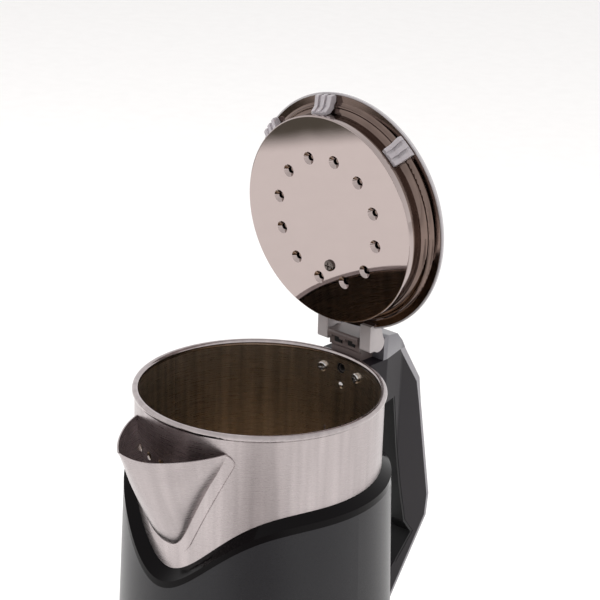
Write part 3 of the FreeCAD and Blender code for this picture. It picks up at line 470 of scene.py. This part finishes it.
class KETTLE_OT_fasteners(bpy.types.Operator):
    """Finishes screws, pins, rivet and springs."""

    bl_idname = "kettle.fasteners"
    bl_label = "Fasteners and springs"

    def execute(self, context):
        # Steel, nickel-plated: bright, with small scuffs from the driver.
        finish(grained("steel_nickel_plated", colours().plated, 0.12, (0.14, 0.24), 0.5 * MM, 0.008 * MM,
                       drift=2 * MM, Metallic=1.0),
               "handle_screws", "wall_rivet", "hinge_pin", "lever_pin", "bottom_screws", "base_screws")
        # Steel, black-nickel-plated: a dark smoky screw.
        finish(grained("steel_black_nickel", colours().lid_screw, 0.12, (0.2, 0.3), 0.5 * MM, 0.008 * MM,
                       drift=2 * MM, Metallic=1.0), "lid_screw")
        # Spring wire, hard-drawn: grey with a dull shine.
        finish(grained("spring_steel_drawn", linear("#a9a8a8"), 0.1, (0.26, 0.36), 0.4 * MM, 0.004 * MM,
                       drift=3 * MM, Metallic=1.0), "lid_springs", "button_spring")
        return {"FINISHED"}


class KETTLE_OT_works(bpy.types.Operator):
    """Finishes the heater, the control and the other works under the pot and in the handle."""

    bl_idname = "kettle.works"
    bl_label = "Heater and control"

    def execute(self, context):
        # Aluminium, die-cast: a matt skin with fine pits.
        finish(grained("aluminium_die_cast", linear("#bdbdc0"), 0.1, (0.4, 0.55), 0.8 * MM, 0.05 * MM,
                       Metallic=1.0), "heater_plate")
        # Stainless tube, blued by its own heat: dull brown-grey with stains.
        finish(grained("stainless_tube_oxidised", linear("#85776d"), 0.25, (0.36, 0.5), 0.6 * MM, 0.01 * MM,
                       drift=9 * MM, Metallic=1.0), "heating_element")
        # Phenolic, compression-moulded: ivory, faintly mottled.
        finish(grained("phenolic_moulded_ivory", linear("#d8d1c0"), 0.07, (0.42, 0.55), 0.7 * MM, 0.01 * MM,
                       drift=5 * MM), "thermostat_control")
        # Bimetal strip, rolled: pale brass tone with a rolled shine.
        finish(grained("bimetal_rolled", linear("#b9ac93"), 0.1, (0.24, 0.36), 0.3 * MM, 0.004 * MM,
                       drift=4 * MM, Metallic=1.0), "bimetal_discs")
        # Glass-filled polyamide, moulded: black, matt, with the glass showing as a fine dust.
        finish(grained("polyamide_glass_filled", linear("#151517"), 0.15, (0.48, 0.62), 0.5 * MM, 0.02 * MM,
                       drift=3 * MM), "jug_connector", "base_connector")
        # Silicone rubber, extruded: dark grey and matt.
        finish(grained("silicone_extruded_dark", linear("#2b2826"), 0.1, (0.5, 0.65), 0.5 * MM, 0.01 * MM),
               "steam_tube")
        return {"FINISHED"}


class KETTLE_OT_power_base(bpy.types.Operator):
    """Finishes the power base with its foot ring, contacts, cord inlet and leads."""

    bl_idname = "kettle.power_base"
    bl_label = "Power base"

    def execute(self, context):
        # ABS, moulded with a fine grain: black, softer than the jug's shell.
        finish(grained("abs_moulded_fine_black", linear("#161618"), 0.06, (0.38, 0.5), sizes().grain_size,
                       0.01 * MM, Specular_IOR_Level=0.4), "base_top", "base_bottom")
        # Rubber, moulded: matt, with a dusty bloom.
        finish(grained("rubber_moulded_black", linear("#1b1b1c"), 0.15, (0.6, 0.75), 0.5 * MM, 0.02 * MM,
                       drift=6 * MM), "base_foot_ring", "cord_inlet")
        # Brass, turned: warm yellow with fine turning marks.
        finish(grained("brass_turned", linear("#cfa459"), 0.08, (0.18, 0.3), 0.3 * MM, 0.004 * MM,
                       drift=3 * MM, Metallic=1.0), "base_contacts")
        # Silicone sleeving over copper strands: pale and matt.
        finish(grained("silicone_sleeve_pale", linear("#b9b3a8"), 0.08, (0.5, 0.65), 0.4 * MM, 0.01 * MM),
               "base_leads")
        return {"FINISHED"}


# --- stage -----------------------------------------------------------------------------------
CAMERA_AZIMUTH = math.radians(43.5)
CAMERA_ELEVATION = math.radians(22.95)
CAMERA_ROLL = math.radians(1.8)
CAMERA_DISTANCE = 0.9145
CAMERA_LENS = 102.0        # mm on a sensor 36 mm wide
AIM_SIDE = 20.05 * MM
AIM_UP = 48.6 * MM
FLOOR_SIDE = 30.0
CARD_HEIGHT = 1.0 * MM       # above the floor
WORLD_LOW = 1.1            # brightness at the horizon
WORLD_HIGH = 0.85          # brightness overhead


def make_camera():
    """Camera looking down at the open kettle from its spout's left."""
    a, e, roll = CAMERA_AZIMUTH, CAMERA_ELEVATION, CAMERA_ROLL
    rim = Vector((0, 0, RIM_TOP))
    away = Vector((math.sin(a) * math.cos(e), -math.cos(a) * math.cos(e), math.sin(e)))
    eye = rim + CAMERA_DISTANCE * away
    target = rim + AIM_SIDE * Vector((math.cos(a), math.sin(a), 0)) + Vector((0, 0, AIM_UP))
    back = (eye - target).normalized()
    right = Vector((0, 0, 1)).cross(back).normalized()
    up = back.cross(right)
    x_axis = math.cos(roll) * right + math.sin(roll) * up
    y_axis = math.cos(roll) * up - math.sin(roll) * right
    data = bpy.data.cameras.new("studio_camera")
    data.sensor_width = 36.0
    data.lens = CAMERA_LENS
    camera = bpy.data.objects.new("studio_camera", data)
    camera.matrix_world = Matrix((
        (x_axis.x, y_axis.x, back.x, eye.x), (x_axis.y, y_axis.y, back.y, eye.y),
        (x_axis.z, y_axis.z, back.z, eye.z), (0, 0, 0, 1)))
    bpy.context.scene.collection.objects.link(camera)
    bpy.context.scene.camera = camera


def make_softbox(name, azimuth, elevation, distance, size, power):
    """Area light aimed at the middle of the kettle, which steel and gloss don't reflect.

    Azimuth 0 is in front of the spout.
    """
    middle = 0.5 * (CAD_BOX[0] + CAD_BOX[1])
    a, e = math.radians(azimuth), math.radians(elevation)
    away = Vector((math.sin(a) * math.cos(e), -math.cos(a) * math.cos(e), math.sin(e)))
    data = bpy.data.lights.new(name, "AREA")
    data.shape = "RECTANGLE"
    data.size, data.size_y = size
    data.energy = power
    light = bpy.data.objects.new(name, data)
    light.location = middle + distance * away
    light.visible_glossy = False
    light.rotation_euler = away.to_track_quat("Z", "Y").to_euler()
    bpy.context.scene.collection.objects.link(light)


def make_sheet(name, width, depth, material):
    """A flat sheet on the floor, round the origin, that belongs to the stage."""
    mesh = bpy.data.meshes.new(name)
    w, d = 0.5 * width, 0.5 * depth
    mesh.from_pydata([(-w, -d, 0), (w, -d, 0), (w, d, 0), (-w, d, 0)], [], [(0, 1, 2, 3)])
    mesh.materials.append(material)
    sheet = bpy.data.objects.new(name, mesh)
    bpy.context.scene.collection.objects.link(sheet)
    return sheet


def make_floor():
    """A wide pale floor of studio paper, with its faint fibre."""
    paper = grained("studio_paper", colours().floor, 0.01, (0.85, 0.95), 2 * MM, 0.01 * MM,
                    Specular_IOR_Level=0.1)
    make_sheet("floor", FLOOR_SIDE, FLOOR_SIDE, paper)


def make_reflection_card(name, azimuth, distance, width, depth, solid, code):
    """A card of flat colour lying just above the floor, a painted reflection for polished steel and gloss to
    show.

    Only reflections see it. It is whole out to solid, where 0.5 is its edge, and fades out from there.
    Azimuth 0 is in front of the spout.
    """
    material, tree = new_material(name + "_felt")
    place = add(tree, "TexCoord").outputs["Generated"]
    centred = add(tree, "VectorMath", {0: place, 1: (0.5, 0.5, 0.0)}, operation="SUBTRACT").outputs[0]
    flat = add(tree, "VectorMath", {0: centred, 1: (1.0, 1.0, 0.0)}, operation="MULTIPLY").outputs[0]
    reach = add(tree, "VectorMath", {0: flat}, operation="LENGTH").outputs["Value"]
    fade = add(tree, "MapRange", {"Value": reach, "From Min": solid, "From Max": 0.5},
               interpolation_type="SMOOTHSTEP").outputs["Result"]
    reflected_colour = add(tree, "BsdfDiffuse", {"Color": linear(code)}).outputs[0]
    clear = add(tree, "BsdfTransparent").outputs[0]
    mixed = add(tree, "MixShader", {0: fade, 1: reflected_colour, 2: clear}).outputs[0]
    add(tree, "OutputMaterial", {"Surface": mixed})
    card = make_sheet(name, width, depth, material)
    turn = math.radians(azimuth)
    card.location = (distance * math.sin(turn), -distance * math.cos(turn), CARD_HEIGHT)
    card.rotation_euler = (0.0, 0.0, turn)
    card.visible_camera = False
    card.visible_diffuse = False
    card.visible_shadow = False


def make_world():
    """Even, nearly white surroundings, a little darker overhead."""
    world = bpy.data.worlds.new("studio")
    bpy.context.scene.world = world
    world.use_nodes = True
    tree = world.node_tree
    tree.nodes.clear()
    place = add(tree, "TexCoord").outputs["Generated"]
    up = add(tree, "SeparateXYZ", {"Vector": place}).outputs["Z"]
    level = add(tree, "MapRange", {"Value": up, "From Min": 0.0, "From Max": 0.9, "To Min": WORLD_LOW,
                                   "To Max": WORLD_HIGH}).outputs["Result"]
    sky = add(tree, "Background", {"Color": linear("#fefdfd"), "Strength": level})
    add(tree, "OutputWorld", {"Surface": sky.outputs["Background"]})


class KETTLE_OT_stage(bpy.types.Operator):
    """Sets up the floor, the surroundings, the softboxes and the camera."""

    bl_idname = "kettle.stage"
    bl_label = "Stage"

    def execute(self, context):
        make_world()
        make_floor()
        make_softbox("key_softbox", -35, 50, 1.6, (1.2, 1.2), 14.0)
        make_softbox("fill_softbox", 110, 35, 1.8, (1.0, 1.4), 8.0)
        # Painted reflections: a dark card far off and a pale one close by on the camera's side, seen only in
        # polished steel and gloss.
        make_reflection_card("far_reflection_card", -43.5, 1.26, 1.8, 0.92, 0.43, "#5c5a52")
        make_reflection_card("near_reflection_card", 43.5, 0.42, 0.5, 0.5, 0.1, "#aba7a6")
        make_camera()
        context.scene.view_settings.view_transform = "Standard"
        return {"FINISHED"}


OPERATORS = (
    KETTLE_OT_pot, KETTLE_OT_shell, KETTLE_OT_handle, KETTLE_OT_hinge, KETTLE_OT_lid,
    KETTLE_OT_fasteners, KETTLE_OT_works, KETTLE_OT_power_base, KETTLE_OT_stage)


class KETTLE_PT_finish(bpy.types.Panel):
    """Sizes, colours and the operators in their order."""

    bl_idname = "KETTLE_PT_finish"
    bl_label = "Electric kettle"
    bl_space_type = "VIEW_3D"
    bl_region_type = "UI"
    bl_category = "Kettle"

    def draw(self, context):
        for group in (context.scene.kettle_sizes, context.scene.kettle_colours):
            box = self.layout.box()
            for name in group.__annotations__:
                box.prop(group, name)
        for operator in OPERATORS:
            self.layout.operator(operator.bl_idname)


CLASSES = (KettleSizes, KettleColours) + OPERATORS + (KETTLE_PT_finish,)


def register():
    for item in CLASSES:
        bpy.utils.register_class(item)
    bpy.types.Scene.kettle_sizes = PointerProperty(type=KettleSizes)
    bpy.types.Scene.kettle_colours = PointerProperty(type=KettleColours)


def unregister():
    del bpy.types.Scene.kettle_colours
    del bpy.types.Scene.kettle_sizes
    for item in reversed(CLASSES):
        bpy.utils.unregister_class(item)


def main():
    register()
    bpy.ops.kettle.pot()
    bpy.ops.kettle.shell()
    bpy.ops.kettle.handle()
    bpy.ops.kettle.hinge()
    bpy.ops.kettle.lid()
    bpy.ops.kettle.fasteners()
    bpy.ops.kettle.works()
    bpy.ops.kettle.power_base()
    bpy.ops.kettle.stage()


if __name__ == "__main__":
    main()
